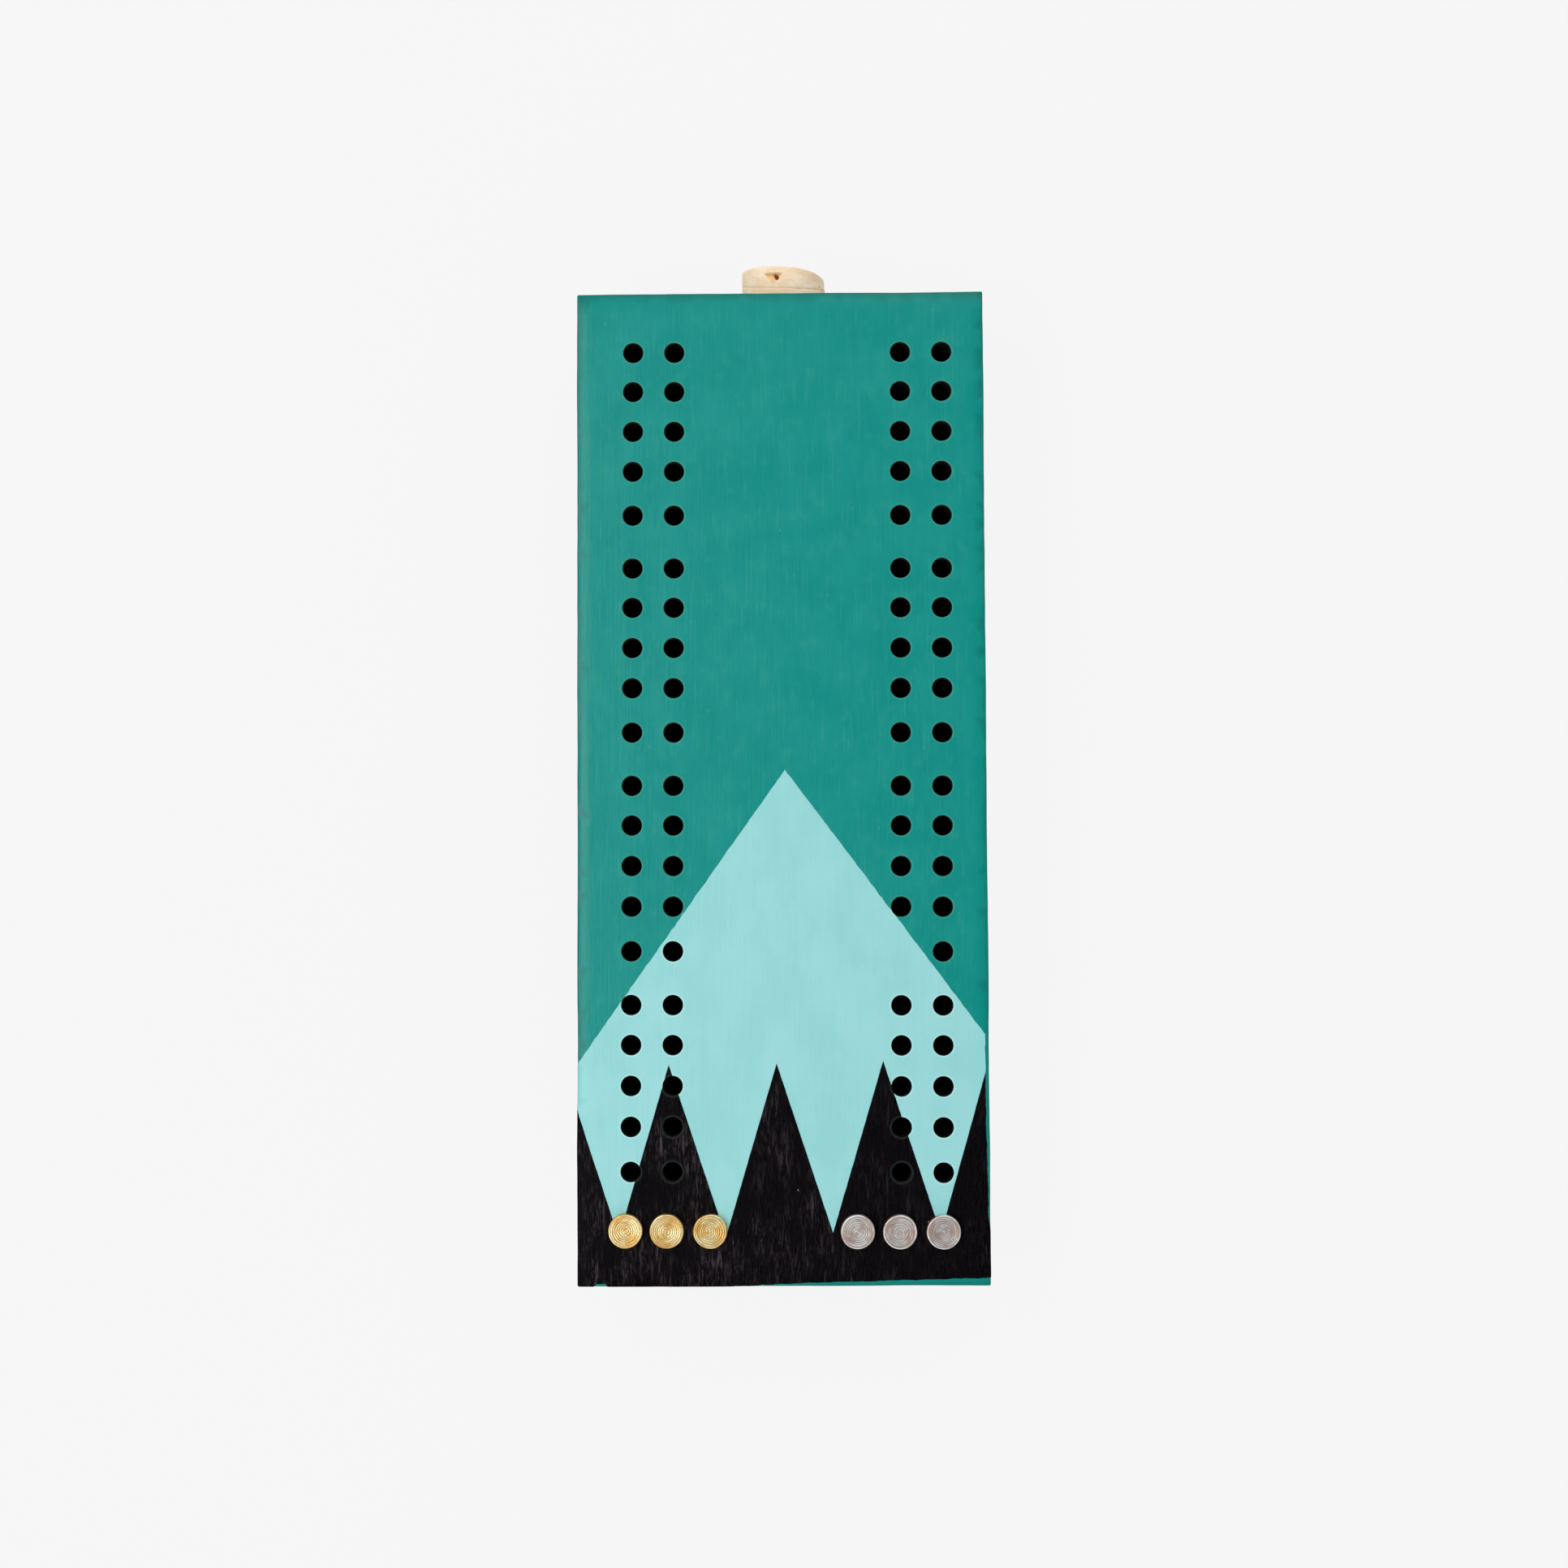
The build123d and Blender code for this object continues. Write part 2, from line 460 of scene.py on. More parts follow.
def black_paint():
    """Satin black paint, laid thinly. The wood's pores show through as short grey streaks along the grain,
    which are also painted glints; a painted sheen makes them brighter towards -X, as from a light on that
    side."""
    f = Finish("black_paint", Specular_IOR_Level=0.04)
    pores = f.noise((0.5 * MM, 3.0 * MM, 7 * MM), detail=4, rough=0.65, shift=4.0, warp=0.7)
    dashes = f.noise((0.9 * MM, 7 * MM, 7 * MM), detail=4, rough=0.6, shift=13.0, warp=0.4)
    zones = f.noise((6 * MM, 13 * MM, 9 * MM), detail=3, shift=9.0)
    fine = f.noise((0.3 * MM, 1.6 * MM, 1 * MM), detail=2, shift=8.0)
    # Random patches, times a painted sheen that fades from -X to +X as if lit from that side.
    thin_paint_and_left_sheen = f.calc("MULTIPLY", f.span(zones, 0.34, 0.66), f.span(f.across(-30 * MM, 45 * MM), 0, 1, 1.0, 0.22))
    colour = f.mix(f.calc("MULTIPLY", f.span(pores, 0.46, 0.76), thin_paint_and_left_sheen), srgb(4, 2, 4), srgb(62, 54, 60))
    streaks = f.calc("MULTIPLY", f.span(dashes, 0.56, 0.72), thin_paint_and_left_sheen)
    colour = f.mix(f.calc("MULTIPLY", streaks, 0.6), colour, srgb(84, 74, 82))
    specks = f.cells((7 * MM, 7 * MM, 7 * MM), shift=6.5)
    colour = f.mix(f.span(specks, 0.05, 0.03, 0.0, 0.6), colour, srgb(120, 114, 112))
    colour = f.mix(f.calc("MULTIPLY", f.mark("rim"), 0.55), colour, srgb(36, 54, 50))
    relief = f.bump(pores, 0.16 * MM)
    relief = f.bump(fine, 0.03 * MM, relief)
    return f.done(colour, f.span(pores, 0.3, 0.7, 0.27, 0.36), relief)


def bare_wood(name, pale, dark):
    """Drilled wood with no paint on it."""
    f = Finish(name, Specular_IOR_Level=0.2)
    grain = f.noise((0.5 * MM, 9 * MM, 0.8 * MM), detail=4, rough=0.6, shift=2.0)
    turns = f.noise((4 * MM, 0.5 * MM, 4 * MM), detail=2, shift=6.0)
    colour = f.mix(f.span(grain, 0.3, 0.7), dark, pale)
    return f.done(colour, f.span(turns, 0.2, 0.8, 0.65, 0.85), f.bump(turns, 0.05 * MM))


def cork_bark():
    """Natural cork: pale, with darker pores and streaks."""
    f = Finish("cork", Specular_IOR_Level=0.25)
    patches = f.noise((4.5 * MM, 2.6 * MM, 4.5 * MM), detail=4, shift=3.0)
    grain = f.noise((3.5 * MM, 0.5 * MM, 3.5 * MM), detail=4, rough=0.6, shift=7.0, warp=0.6)
    specks = f.cells((2.2 * MM, 1.6 * MM, 2.2 * MM), shift=1.5)
    colour = f.mix(f.span(patches, 0.32, 0.68), srgb(246, 216, 182), srgb(255, 234, 206))
    colour = f.mix(f.span(grain, 0.55, 0.78, 0.0, 0.4), colour, srgb(232, 190, 144))
    colour = f.mix(f.span(grain, 0.45, 0.22, 0.0, 0.5), colour, srgb(252, 236, 212))
    colour = f.mix(f.span(specks, 0.16, 0.08, 0.0, 0.3), colour, srgb(205, 160, 116))
    # Orange in the chip's scoop, strongest towards its far edge, and a painted shade line along the crease.
    colour = f.mix(f.mark("warm_and_crease_shade"), colour, srgb(226, 162, 84))
    # Painted shade: dark brown deep in the pores and sunken spots, growing with their depth.
    colour = f.mix(f.mark("pit_shade"), colour, srgb(122, 64, 20))
    relief = f.bump(grain, 0.12 * MM)
    relief = f.bump(specks, 0.1 * MM, relief)
    return f.done(colour, f.span(patches, 0.2, 0.8, 0.75, 0.9), relief)


def turned_metal(name, pale, dark, groove_tone, rough):
    """Metal as it comes off the lathe, with the facing cut's tool marks under a painted bow-tie glint, and
    darker along the grooves where that glint is pale.
    """
    f = Finish(name, Metallic=0.9)
    tarnish = f.noise((1.3 * MM, 1.3 * MM, 1.3 * MM), detail=5, rough=0.6, shift=2.0)
    scratches = f.noise((0.12 * MM, 0.5 * MM, 0.5 * MM), detail=3, shift=5.0)
    # Pale where the painted glint and tool marks are light, dark elsewhere.
    colour = f.mix(f.mark("swirl_and_glint"), dark, pale)
    colour = f.mix(f.span(tarnish, 0.5, 0.8, 0.0, 0.3), colour, dark)
    # Darker along the lathe grooves, most where the painted glint is pale.
    colour = f.mix(f.calc("MULTIPLY", f.mark("groove"), 0.8), colour, groove_tone)
    roughness = f.span(tarnish, 0.25, 0.75, rough + 0.03, rough - 0.03)
    return f.done(colour, roughness, f.bump(scratches, 0.006 * MM))


# ---------------------------------------------------------------------------------------------
# The board


def block_size():
    """The block's own width and length. Its box is larger, because it is turned in the frame."""
    cos_t, sin_t = math.cos(BLOCK_TURN), math.sin(BLOCK_TURN)
    across = BLOCK_HIGH.x - BLOCK_LOW.x - 2 * EDGE_ROUND
    along = BLOCK_HIGH.y - BLOCK_LOW.y - 2 * EDGE_ROUND
    share = cos_t**2 - sin_t**2
    width = (across * cos_t - along * sin_t) / share
    length = (along * cos_t - across * sin_t) / share
    return width + 2 * EDGE_ROUND, length + 2 * EDGE_ROUND


BLOCK_SIZE = np.array(block_size())
TURNED = np.array(
    [[math.cos(BLOCK_TURN), math.sin(BLOCK_TURN)], [-math.sin(BLOCK_TURN), math.cos(BLOCK_TURN)]]
)


def hole_places():
    """The centres of the scoring holes, from the record's mounts, and of the holes under the pegs."""
    places = set()
    for mount in frame["record"]["mounts"]:
        if mount["kind"] != "bolt_pattern":
            continue
        x, y, _ = mount["pos_m"]
        half_x = mount["dims"].get("spacing_x_mm", 0) * MM / 2
        half_y = mount["dims"].get("spacing_y_mm", 0) * MM / 2
        for side, end in ((-1, -1), (-1, 1), (1, -1), (1, 1)):
            places.add((round(x + side * half_x, 5), round(y + end * half_y, 5)))
    for name in PEGS:
        low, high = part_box(name)
        places.add((round((low.x + high.x) / 2, 5), round((low.y + high.y) / 2, 5)))
    return np.array(sorted(places))


HOLES = hole_places()
HOLE_RADIUS = next(
    mount["dims"]["hole_r_mm"] * MM
    for mount in frame["record"]["mounts"]
    if mount["kind"] == "bolt_pattern"
)


def from_hole(points):
    """How far each point is from the wall of the nearest hole."""
    nearest = np.full(len(points), 1.0)
    for centre in HOLES:
        nearest = np.minimum(nearest, np.hypot(*(points[:, :2] - centre).T))
    return nearest - HOLE_RADIUS


def rim_height(points):
    """The height of the drilled holes' rims above the face."""
    out, up = zip(*reversed(RIM))
    return np.interp(from_hole(points), out, up)


def rolled_outline():
    """The edge of the face with its rounded edges rolled out flat, from the middle of the foot end."""
    inner = BLOCK_SIZE / 2 - EDGE_ROUND
    reach = EDGE_ROUND * math.pi / 2
    corner_steps, spacing = 8, 1.5 * MM
    turns = ((1, -1, -90), (1, 1, 0), (-1, 1, 90), (-1, -1, 180))
    stops = [np.array([0.0, -inner[1] - reach])]
    for side, end, start in turns:
        for step in range(corner_steps + 1):
            angle = math.radians(start + 90 * step / corner_steps)
            around = np.array([math.cos(angle), math.sin(angle)]) * reach
            stops.append(inner * (side, end) + around)
    points = []
    for first, second in zip(stops, stops[1:] + stops[:1]):
        pieces = max(1, round(float(np.linalg.norm(second - first)) / spacing))
        points += [first + (second - first) * i / pieces for i in range(pieces)]
    return np.array(points) @ TURNED


def roll_up(points, face, offset=0.0):
    """Rolled-out points, brought onto a face of the block and round its edges. face is +1 for the top."""
    inner = BLOCK_SIZE / 2 - EDGE_ROUND
    own = points @ TURNED.T
    beyond = np.maximum(np.abs(own) - inner, 0)
    distance = np.hypot(*beyond.T)
    angle = distance / EDGE_ROUND
    outward = beyond / np.maximum(distance, 1e-9)[:, None]
    arc = EDGE_ROUND + offset
    plan = np.sign(own) * (np.minimum(np.abs(own), inner) + outward * (arc * np.sin(angle))[:, None])
    plane = BLOCK_TOP - TEAL_BELOW_TOP if face > 0 else 0.0
    height = plane + face * (arc * np.cos(angle) - EDGE_ROUND)
    return np.column_stack([plan @ TURNED, height])


def worn(points):
    """The block's hand-finished shape: its sides wave a little, and its face is crowned and uneven."""
    own = points[:, :2] @ TURNED.T
    from_edge = BLOCK_SIZE / 2 - np.abs(own)
    shift = np.zeros_like(own)
    along = np.column_stack([own[:, 1], own[:, 0]])
    for axis in (0, 1):
        near = smooth_step(from_edge[:, axis], 7 * MM, 0.5 * MM)
        side = np.sign(own[:, axis])
        places = np.column_stack([along[:, axis], side * 0.05, points[:, 2] * 0.3])
        wave = SIDE_WAVE * noise_at(places, (24 * MM, 1, 60 * MM), seed=axis + 1)
        wave += SIDE_RIPPLE * noise_at(places, (5 * MM, 1, 20 * MM), seed=axis + 3)
        shift[:, axis] = side * near * wave
    crown = FACE_CROWN * smooth_step(from_edge.min(axis=1), 4 * MM, 0.0) ** 2
    uneven = FACE_WAVE * noise_at(points, (9 * MM, 40 * MM, 1), seed=6)
    uneven += FACE_RIPPLE * noise_at(points, (2.5 * MM, 15 * MM, 1), seed=7)
    upper = smooth_step(points[:, 2], 0.6 * BLOCK_TOP, BLOCK_TOP - 2 * MM)
    moved = points.copy()
    moved[:, :2] += shift @ TURNED
    moved[:, 2] += upper * (uneven - crown)
    return moved


def face_marks(points):
    """How near each point is to the face's edge, its very corner and a hole's rim, from 0 to 1."""
    own = points[:, :2] @ TURNED.T
    from_edge = (BLOCK_SIZE / 2 - np.abs(own)).min(axis=1)
    out = from_hole(points)
    rim = smooth_step(out, 0.62 * MM, 0.42 * MM) * smooth_step(out, 0.10 * MM, 0.26 * MM)
    upper = smooth_step(points[:, 2], BLOCK_TOP - 3 * MM, BLOCK_TOP - 1 * MM)
    corner = smooth_step(from_edge, 0.55 * MM, 0.1 * MM)
    return {"edge": smooth_step(from_edge, 5 * MM, 1 * MM), "corner": corner, "rim": rim * upper}


def painted_line(corners, waver):
    """The corners joined by lines that waver a little, as a brushed edge against tape does."""
    points = []
    for first, second in zip(np.array(corners), np.array(corners[1:])):
        run = second - first
        length = float(np.linalg.norm(run))
        pieces = max(1, round(length / (1.1 * MM)))
        across = np.array([-run[1], run[0]]) / length
        wander = rng.normal(0, waver, pieces)
        wander[0] = 0
        points += [first + run * i / pieces + across * wander[i] for i in range(pieces)]
    return points + [np.array(corners[-1])]


def face_triangles():
    """The playing face with its edges rolled out, cut along the paint's outlines and the holes' rims,
    as flat points, triangles, each triangle's coat, and whether it is a hole's bare rim."""
    outline = rolled_outline()
    points, edges = list(outline), loop_edges(0, len(outline))
    around = np.arange(HOLE_SIDES) * 2 * math.pi / HOLE_SIDES
    circle = np.column_stack([np.cos(around), np.sin(around)])
    for centre in HOLES:
        for out, _ in RIM:
            edges += loop_edges(len(points), HOLE_SIDES)
            points += list(centre + circle * (HOLE_RADIUS + out))
    zigzag = painted_line(ZIGZAG, 0.02 * MM)
    tape = painted_line([ZIGZAG[-1]] + TAPE_EDGE, 0.06 * MM)
    aqua = painted_line([AQUA_LEFT, AQUA_PEAK, AQUA_RIGHT, ZIGZAG[-1]], 0.05 * MM)
    for line in (zigzag, tape, aqua):
        edges += loop_edges(len(points), len(line), closed=False)
        points += line
    half_x, half_y = np.abs(outline).max(axis=0)
    step_x, step_y = 2.2 * MM, 3.6 * MM
    grid = np.array(
        [
            (x + rng.uniform(-0.5, 0.5) * MM, y + rng.uniform(-0.8, 0.8) * MM)
            for x in np.arange(-half_x, half_x, step_x)
            for y in np.arange(-half_y, half_y, step_y)
        ]
    )
    grid = grid[(from_hole(grid) > 1.4 * MM) & in_polygon(grid, outline * 0.985)]
    points += list(grid)

    def on_face(middles):
        return in_polygon(middles, outline) & (from_hole(middles) > 0)

    flat, triangles = triangulate(points, edges, on_face)
    middles = flat[triangles].mean(axis=1)
    black = in_polygon(middles, np.array(zigzag + tape[1:]))
    pale = in_polygon(middles, np.array(aqua + zigzag[-2::-1]))
    coat = np.where(black, BLACK, np.where(pale, AQUA, TEAL))
    bare_rim = from_hole(middles) < PAINT_STOPS_AT
    return flat, triangles, coat, bare_rim


def drilled_hole(centre, rim):
    """A hole's wall and drilled point, from the points of its rim down, as points and faces."""
    turns = np.arctan2(*(rim[:, :2] - centre).T[::-1])
    order = np.argsort(turns)
    rim, turns = rim[order], turns[order]
    circle = np.column_stack([np.cos(turns), np.sin(turns)])
    mouth = BLOCK_TOP - TEAL_BELOW_TOP
    bottom = BLOCK_TOP - HOLE_DEPTH
    tip = bottom - HOLE_RADIUS / math.tan(DRILL_POINT)
    levels = [(HOLE_RADIUS, mouth - depth) for depth in (1.5 * MM, 5 * MM, 11 * MM)]
    levels += [(HOLE_RADIUS, bottom), (HOLE_RADIUS / 2, (bottom + tip) / 2)]
    rings = [rim]
    for radius, z in levels:
        rings.append(np.column_stack([centre + circle * radius, np.full(len(rim), z)]))
    points = np.concatenate(rings + [[(*centre, tip)]])
    last = (len(rings) - 1) * len(rim)
    return points, ring_strip(rings) + fan(last, len(rim), len(points) - 1)


def side_surface(upper, lower):
    """The block's four sides as one strip between two loops of points, with the bore's mouth cut out."""

    def unwound(loop):
        closed = np.concatenate([loop, loop[:1]])
        steps = np.hypot(*np.diff(closed[:, :2], axis=0).T)
        return closed, np.concatenate([[0], np.cumsum(steps)])

    (top, top_s), (bottom, bottom_s) = unwound(upper), unwound(lower)
    around = top_s[-1]
    head = np.argmin(np.abs(top[:, 0] - BORE_X) - top[:, 1])
    mouth_s = top_s[head] + top[head, 0] - BORE_X
    mouth = np.array([mouth_s, BORE_HEIGHT])
    points = list(np.column_stack([top_s, top[:, 2]]))
    edges = loop_edges(0, len(points), closed=False)
    first = len(points)
    points += list(np.column_stack([bottom_s, bottom[:, 2]]))
    edges += loop_edges(first, len(bottom_s), closed=False)
    edges += [(0, first), (len(top_s) - 1, first + len(bottom_s) - 1)]
    turns = np.arange(BORE_SIDES) * 2 * math.pi / BORE_SIDES
    circle = np.column_stack([np.cos(turns), np.sin(turns)])
    for radius in (BORE_RADIUS + BORE_FLAT_RING, BORE_RADIUS + BORE_RIM):
        edges += loop_edges(len(points), BORE_SIDES)
        points += list(mouth + circle * radius)
    low_z, high_z = bottom[:, 2].max(), top[:, 2].min()
    rows = 12
    heights = low_z + (high_z - low_z) * (np.arange(1, rows) / rows)
    heights = np.concatenate([[low_z + 0.5 * MM], heights, [high_z - 0.5 * MM]])
    grid = np.array([(s, z) for s in bottom_s[1:-1] for z in heights])
    grid = grid[np.hypot(*(grid - mouth).T) > BORE_RADIUS + BORE_KEPT_CLEAR]
    seams = np.array([(s, z) for s in (0, around) for z in heights])
    points += list(grid) + list(seams)

    strip = np.array(points[:first] + points[first : first + len(bottom_s)][::-1])

    def on_side(middles):
        return in_polygon(middles, strip) & (np.hypot(*(middles - mouth).T) > BORE_RADIUS + BORE_RIM)

    flat, triangles = triangulate(points, edges, on_side)
    share = np.clip((flat[:, 1] - low_z) / (high_z - low_z), 0, 1)[:, None]
    on_top = np.column_stack([np.interp(flat[:, 0], top_s, top[:, axis]) for axis in (0, 1)])
    on_bottom = np.column_stack([np.interp(flat[:, 0], bottom_s, bottom[:, axis]) for axis in (0, 1)])
    solid = np.column_stack([on_top * share + on_bottom * (1 - share), flat[:, 1]])
    ring = mouth + circle * (BORE_RADIUS + BORE_RIM)
    rim = np.column_stack([np.interp(ring[:, 0], top_s, top[:, axis]) for axis in (0, 1)] + [ring[:, 1]])
    return solid, triangles, rim


def storage_bore(rim):
    """The bore's mouth, wall and flat bottom, from the loop of its rim inwards, as points and faces."""
    head = rim[:, 1].mean()
    turns = np.arctan2(rim[:, 2] - BORE_HEIGHT, rim[:, 0] - BORE_X)
    circle = np.column_stack([np.cos(turns), np.zeros(len(turns)), np.sin(turns)])
    depths = [0.3 * MM, 4 * MM] + [BORE_DEPTH * i / 10 for i in range(1, 11)]
    rings = [rim]
    rings += [circle * BORE_RADIUS + (BORE_X, head - depth, BORE_HEIGHT) for depth in depths]
    bottom = (BORE_X, head - BORE_DEPTH, BORE_HEIGHT)
    rings += [circle * BORE_RADIUS * share + bottom for share in (0.7, 0.35)]
    points = np.concatenate(rings + [[bottom]])
    last = (len(rings) - 1) * len(rim)
    return points, ring_strip(rings) + fan(last, len(rim), len(points) - 1)


def outer_loop(points, triangles):
    """The points round the outside of a surface, counterclockwise from the middle of the foot end."""
    sides = open_sides(triangles)
    own = points[:, :2] @ TURNED.T
    near_start = {a: np.hypot(own[a, 0], own[a, 1] + BLOCK_SIZE[1] / 2) for a, _ in sides}
    placed = points[loop_from(min(near_start, key=near_start.get), sides)]
    area = np.sum(placed[:, 0] * np.roll(placed[:, 1], -1) - placed[:, 1] * np.roll(placed[:, 0], -1))
    return placed if area > 0 else np.concatenate([placed[:1], placed[:0:-1]])


def make_board():
    """The teal block with its holes and bore, and the aqua and black coats on its playing face."""
    flat, triangles, coat, bare_rim = face_triangles()
    lift = rim_height(flat)
    block = Skin()
    surface = roll_up(flat, 1)
    surface[:, 2] += lift
    block.add(surface, triangles[~bare_rim])
    block.add(surface, triangles[bare_rim], slot=RIM_WOOD)
    open_points = surface[np.unique(open_sides(triangles))]
    for centre in HOLES:
        rim = np.hypot(*(open_points[:, :2] - centre).T) < HOLE_RADIUS + 0.01 * MM
        block.add(*drilled_hole(centre, open_points[rim]), slot=HOLE_WOOD)
    outline = rolled_outline()
    grid = [(x, y) for x in np.arange(-45, 46, 10) * MM for y in np.arange(-115, 116, 10) * MM]
    under, under_faces = triangulate(
        list(outline) + [np.array(p) for p in grid],
        loop_edges(0, len(outline)),
        lambda middles: in_polygon(middles, outline),
    )
    under = roll_up(under, -1)
    block.add(under, under_faces[:, ::-1])
    upper, lower = outer_loop(surface, triangles), outer_loop(under, under_faces)
    sides, side_faces, rim = side_surface(upper, lower)
    block.add(sides, side_faces)
    block.add(*storage_bore(rim), slot=BORE_WOOD)
    # Painted shade: the bare wood is darkened at the holes' mouths and near-black down their walls, as the
    # deep, narrow holes lie in shade; the bore's wood keeps its own pale colour.
    shaded_rim_wood = bare_wood("shaded_rim_wood", srgb(40, 44, 30), srgb(16, 22, 16))
    shaded_hole_wood = bare_wood("shaded_hole_wood", srgb(26, 14, 12), srgb(12, 6, 5))
    bore_wood = bare_wood("bore_wood", srgb(206, 170, 122), srgb(168, 128, 82))
    materials = [teal_paint(), shaded_rim_wood, shaded_hole_wood, bore_wood]
    teal = block.build("board_block", materials, move=worn, marks=face_marks)
    made = [(teal, "teal_paint")]
    coats = (
        (AQUA, "aqua_paint", aqua_paint(), AQUA_THICKNESS),
        (BLACK, "black_paint", black_paint(), BLACK_THICKNESS),
    )
    for number, name, material, thickness in coats:
        kept = triangles[(coat == number) & ~bare_rim]
        layer = Skin()
        above, below = roll_up(flat, 1, thickness), roll_up(flat, 1, -PAINT_SINKS_IN)
        above[:, 2] += lift
        below[:, 2] += lift
        layer.add(above, kept)
        layer.add(below, kept[:, ::-1])
        skirt = [[a, b, b + len(flat), a + len(flat)] for a, b in open_sides(kept)]
        layer.add(np.concatenate([above, below]), skirt)
        made.append((layer.build(name, [material], move=worn, marks=face_marks), name))
    return made


# ---------------------------------------------------------------------------------------------
# The pegs


def peg_profile(head_radius, head_top, face, tip):
    """A peg's outline from its tip to the middle of its head, as (radius, height, tool mark), with
    the grooves that the lathe tool left on the head."""
    outline = [
        (0, tip, 0),
        (SHANK_RADIUS - TIP_CHAMFER, tip, 0),
        (SHANK_RADIUS - TIP_CHAMFER / 3, tip + TIP_CHAMFER / 3, 0),
        (SHANK_RADIUS, tip + TIP_CHAMFER, 0),
        (SHANK_RADIUS, tip + 5 * MM, 0),
        (SHANK_RADIUS, face - 5 * MM, 0),
        (SHANK_RADIUS, face - 0.2 * MM, 0),
        (SHANK_RADIUS + 0.2 * MM, face, 0),
        (head_radius - 0.15 * MM, face, 0),
        (head_radius, face + 0.15 * MM, 0),
        (head_radius, face + 0.35 * MM, 0),
        (head_radius, head_top - HEAD_CHAMFER - 0.15 * MM, 0),
    ]
    for step in range(7):
        angle = math.radians(90 * step / 6)
        drop = HEAD_CHAMFER * (1 - math.sin(angle))
        outline.append((head_radius - HEAD_CHAMFER * (1 - math.cos(angle)), head_top - drop, 0))
    edge = head_radius - HEAD_CHAMFER
    steps = GROOVE_STEPS
    pitch = rng.uniform(0.46, 0.60) * MM
    turning = np.cumsum(rng.uniform(0.4, 1.6, steps)) * 2 * math.pi * edge / pitch / steps
    deep = rng.uniform(0.4, 1.0, steps)
    for i in range(1, steps):
        radius = edge * (1 - i / steps)
        wave = (0.5 - 0.5 * math.cos(turning[i])) * deep[i]
        ease = min(1.0, radius / (0.4 * MM), (edge - radius) / (0.2 * MM))
        groove = max(wave * ease, math.exp(-(((edge - 0.1 * MM - radius) / (0.08 * MM)) ** 2)))
        dish = DISH_DEPTH * (1 - (radius / edge) ** 2)
        outline.append((radius, head_top - GROOVE_DEPTH * groove - dish, groove))
    outline.append((0, head_top - DISH_DEPTH, 0))
    return outline


def make_peg(name, material):
    """One turned peg in place of its CAD node."""
    low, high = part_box(name)
    centre = np.array([(low.x + high.x) / 2, (low.y + high.y) / 2])
    head_radius = (high.x - low.x) / 2
    outline = peg_profile(head_radius, high.z, BLOCK_TOP, low.z)
    sides = PEG_SIDES
    around = np.arange(sides) * 2 * math.pi / sides
    skew, seed = rng.uniform(0, 2 * math.pi), rng.uniform(1, 50)
    rings, tooled, swirl_and_glint_rows = [], [], []
    for radius, height, groove in outline[1:-1]:
        uneven = 1 + 0.004 * np.sin(3 * around + skew) + 0.003 * np.sin(7 * around + 2 * skew)
        off = np.zeros(2)
        if groove:
            uneven = np.ones(sides)
            off = 0.09 * MM * (1 - radius / head_radius) * np.array([math.cos(skew), math.sin(skew)])
        flat = centre + off + (radius * uneven)[:, None] * np.column_stack([np.cos(around), np.sin(around)])
        rings.append(np.column_stack([flat, np.full(sides, height)]))
        sweep = around + 0.15 * radius / MM
        places = np.column_stack([np.cos(sweep), np.sin(sweep), np.full(sides, radius / MM)])
        # A painted bow-tie glint, as light reflects off the turned face, laid over the random tool marks of
        # the facing cut.
        swirl_and_glint = 0.35 * np.cos(2 * (sweep - skew))
        swirl_and_glint += 0.8 * noise_at(places, (1.0, 1.0, 0.28), seed=seed)
        swirl_and_glint += 0.6 * noise_at(places, (0.5, 0.5, 0.9), seed=seed + 3)
        tooled.append(groove * smooth_step(swirl_and_glint, -0.35, 0.35))
        swirl_and_glint_rows.append(smooth_step(swirl_and_glint, -0.6, 0.6) * (1.0 if groove else RIM_SWIRL_AND_GLINT))
    points = np.concatenate(rings + [[(*centre, outline[0][1])], [(*centre, outline[-1][1])]])
    values = {
        "groove": np.concatenate(tooled + [[0.0, 0.0]]),
        "swirl_and_glint": np.concatenate(swirl_and_glint_rows + [[0.5, 0.5]]),
    }
    tip, top = len(points) - 2, len(points) - 1
    last = (len(rings) - 1) * sides
    ends = [face[::-1] for face in fan(0, sides, tip)] + fan(last, sides, top)
    skin = Skin()
    skin.add(points, ring_strip(rings) + ends)
    return skin.build(name + "_turned", [material], sharp=50, marks=by_place(points, values))


# ---------------------------------------------------------------------------------------------
# The cork

# The cork's biggest pore is a three-cornered chip with a deep end. Angles run round the cork from
# its top, and distances from its seat.
CHIP_SIDES = [
    (-14.5, 7.0 * MM, 0.0, -1.0),
    (-27.2, 7.0 * MM, 0.73, 0.685),
    (0.6, 7.0 * MM, -0.743, 0.669),
]
CHIP_DEEP_END = (-8.4, 6.05 * MM, 1.35 * MM, 0.8 * MM)
CHIP_DEPTH, CHIP_END_DEPTH = 0.45 * MM, 0.8 * MM

# The other pits: angle, distance, half their size round and along the cork, and depth.
SMALL_PITS = [
    (-39.0, 6.9 * MM, 0.35 * MM, 0.3 * MM, 0.2 * MM),
    (24.0, 3.4 * MM, 0.8 * MM, 0.2 * MM, 0.15 * MM),
    (61.0, 5.2 * MM, 0.5 * MM, 0.3 * MM, 0.25 * MM),
    (130.0, 4.0 * MM, 1.4 * MM, 0.5 * MM, 0.7 * MM),
    (205.0, 5.5 * MM, 0.9 * MM, 0.6 * MM, 0.5 * MM),
    (265.0, 2.6 * MM, 1.8 * MM, 0.4 * MM, 0.5 * MM),
]


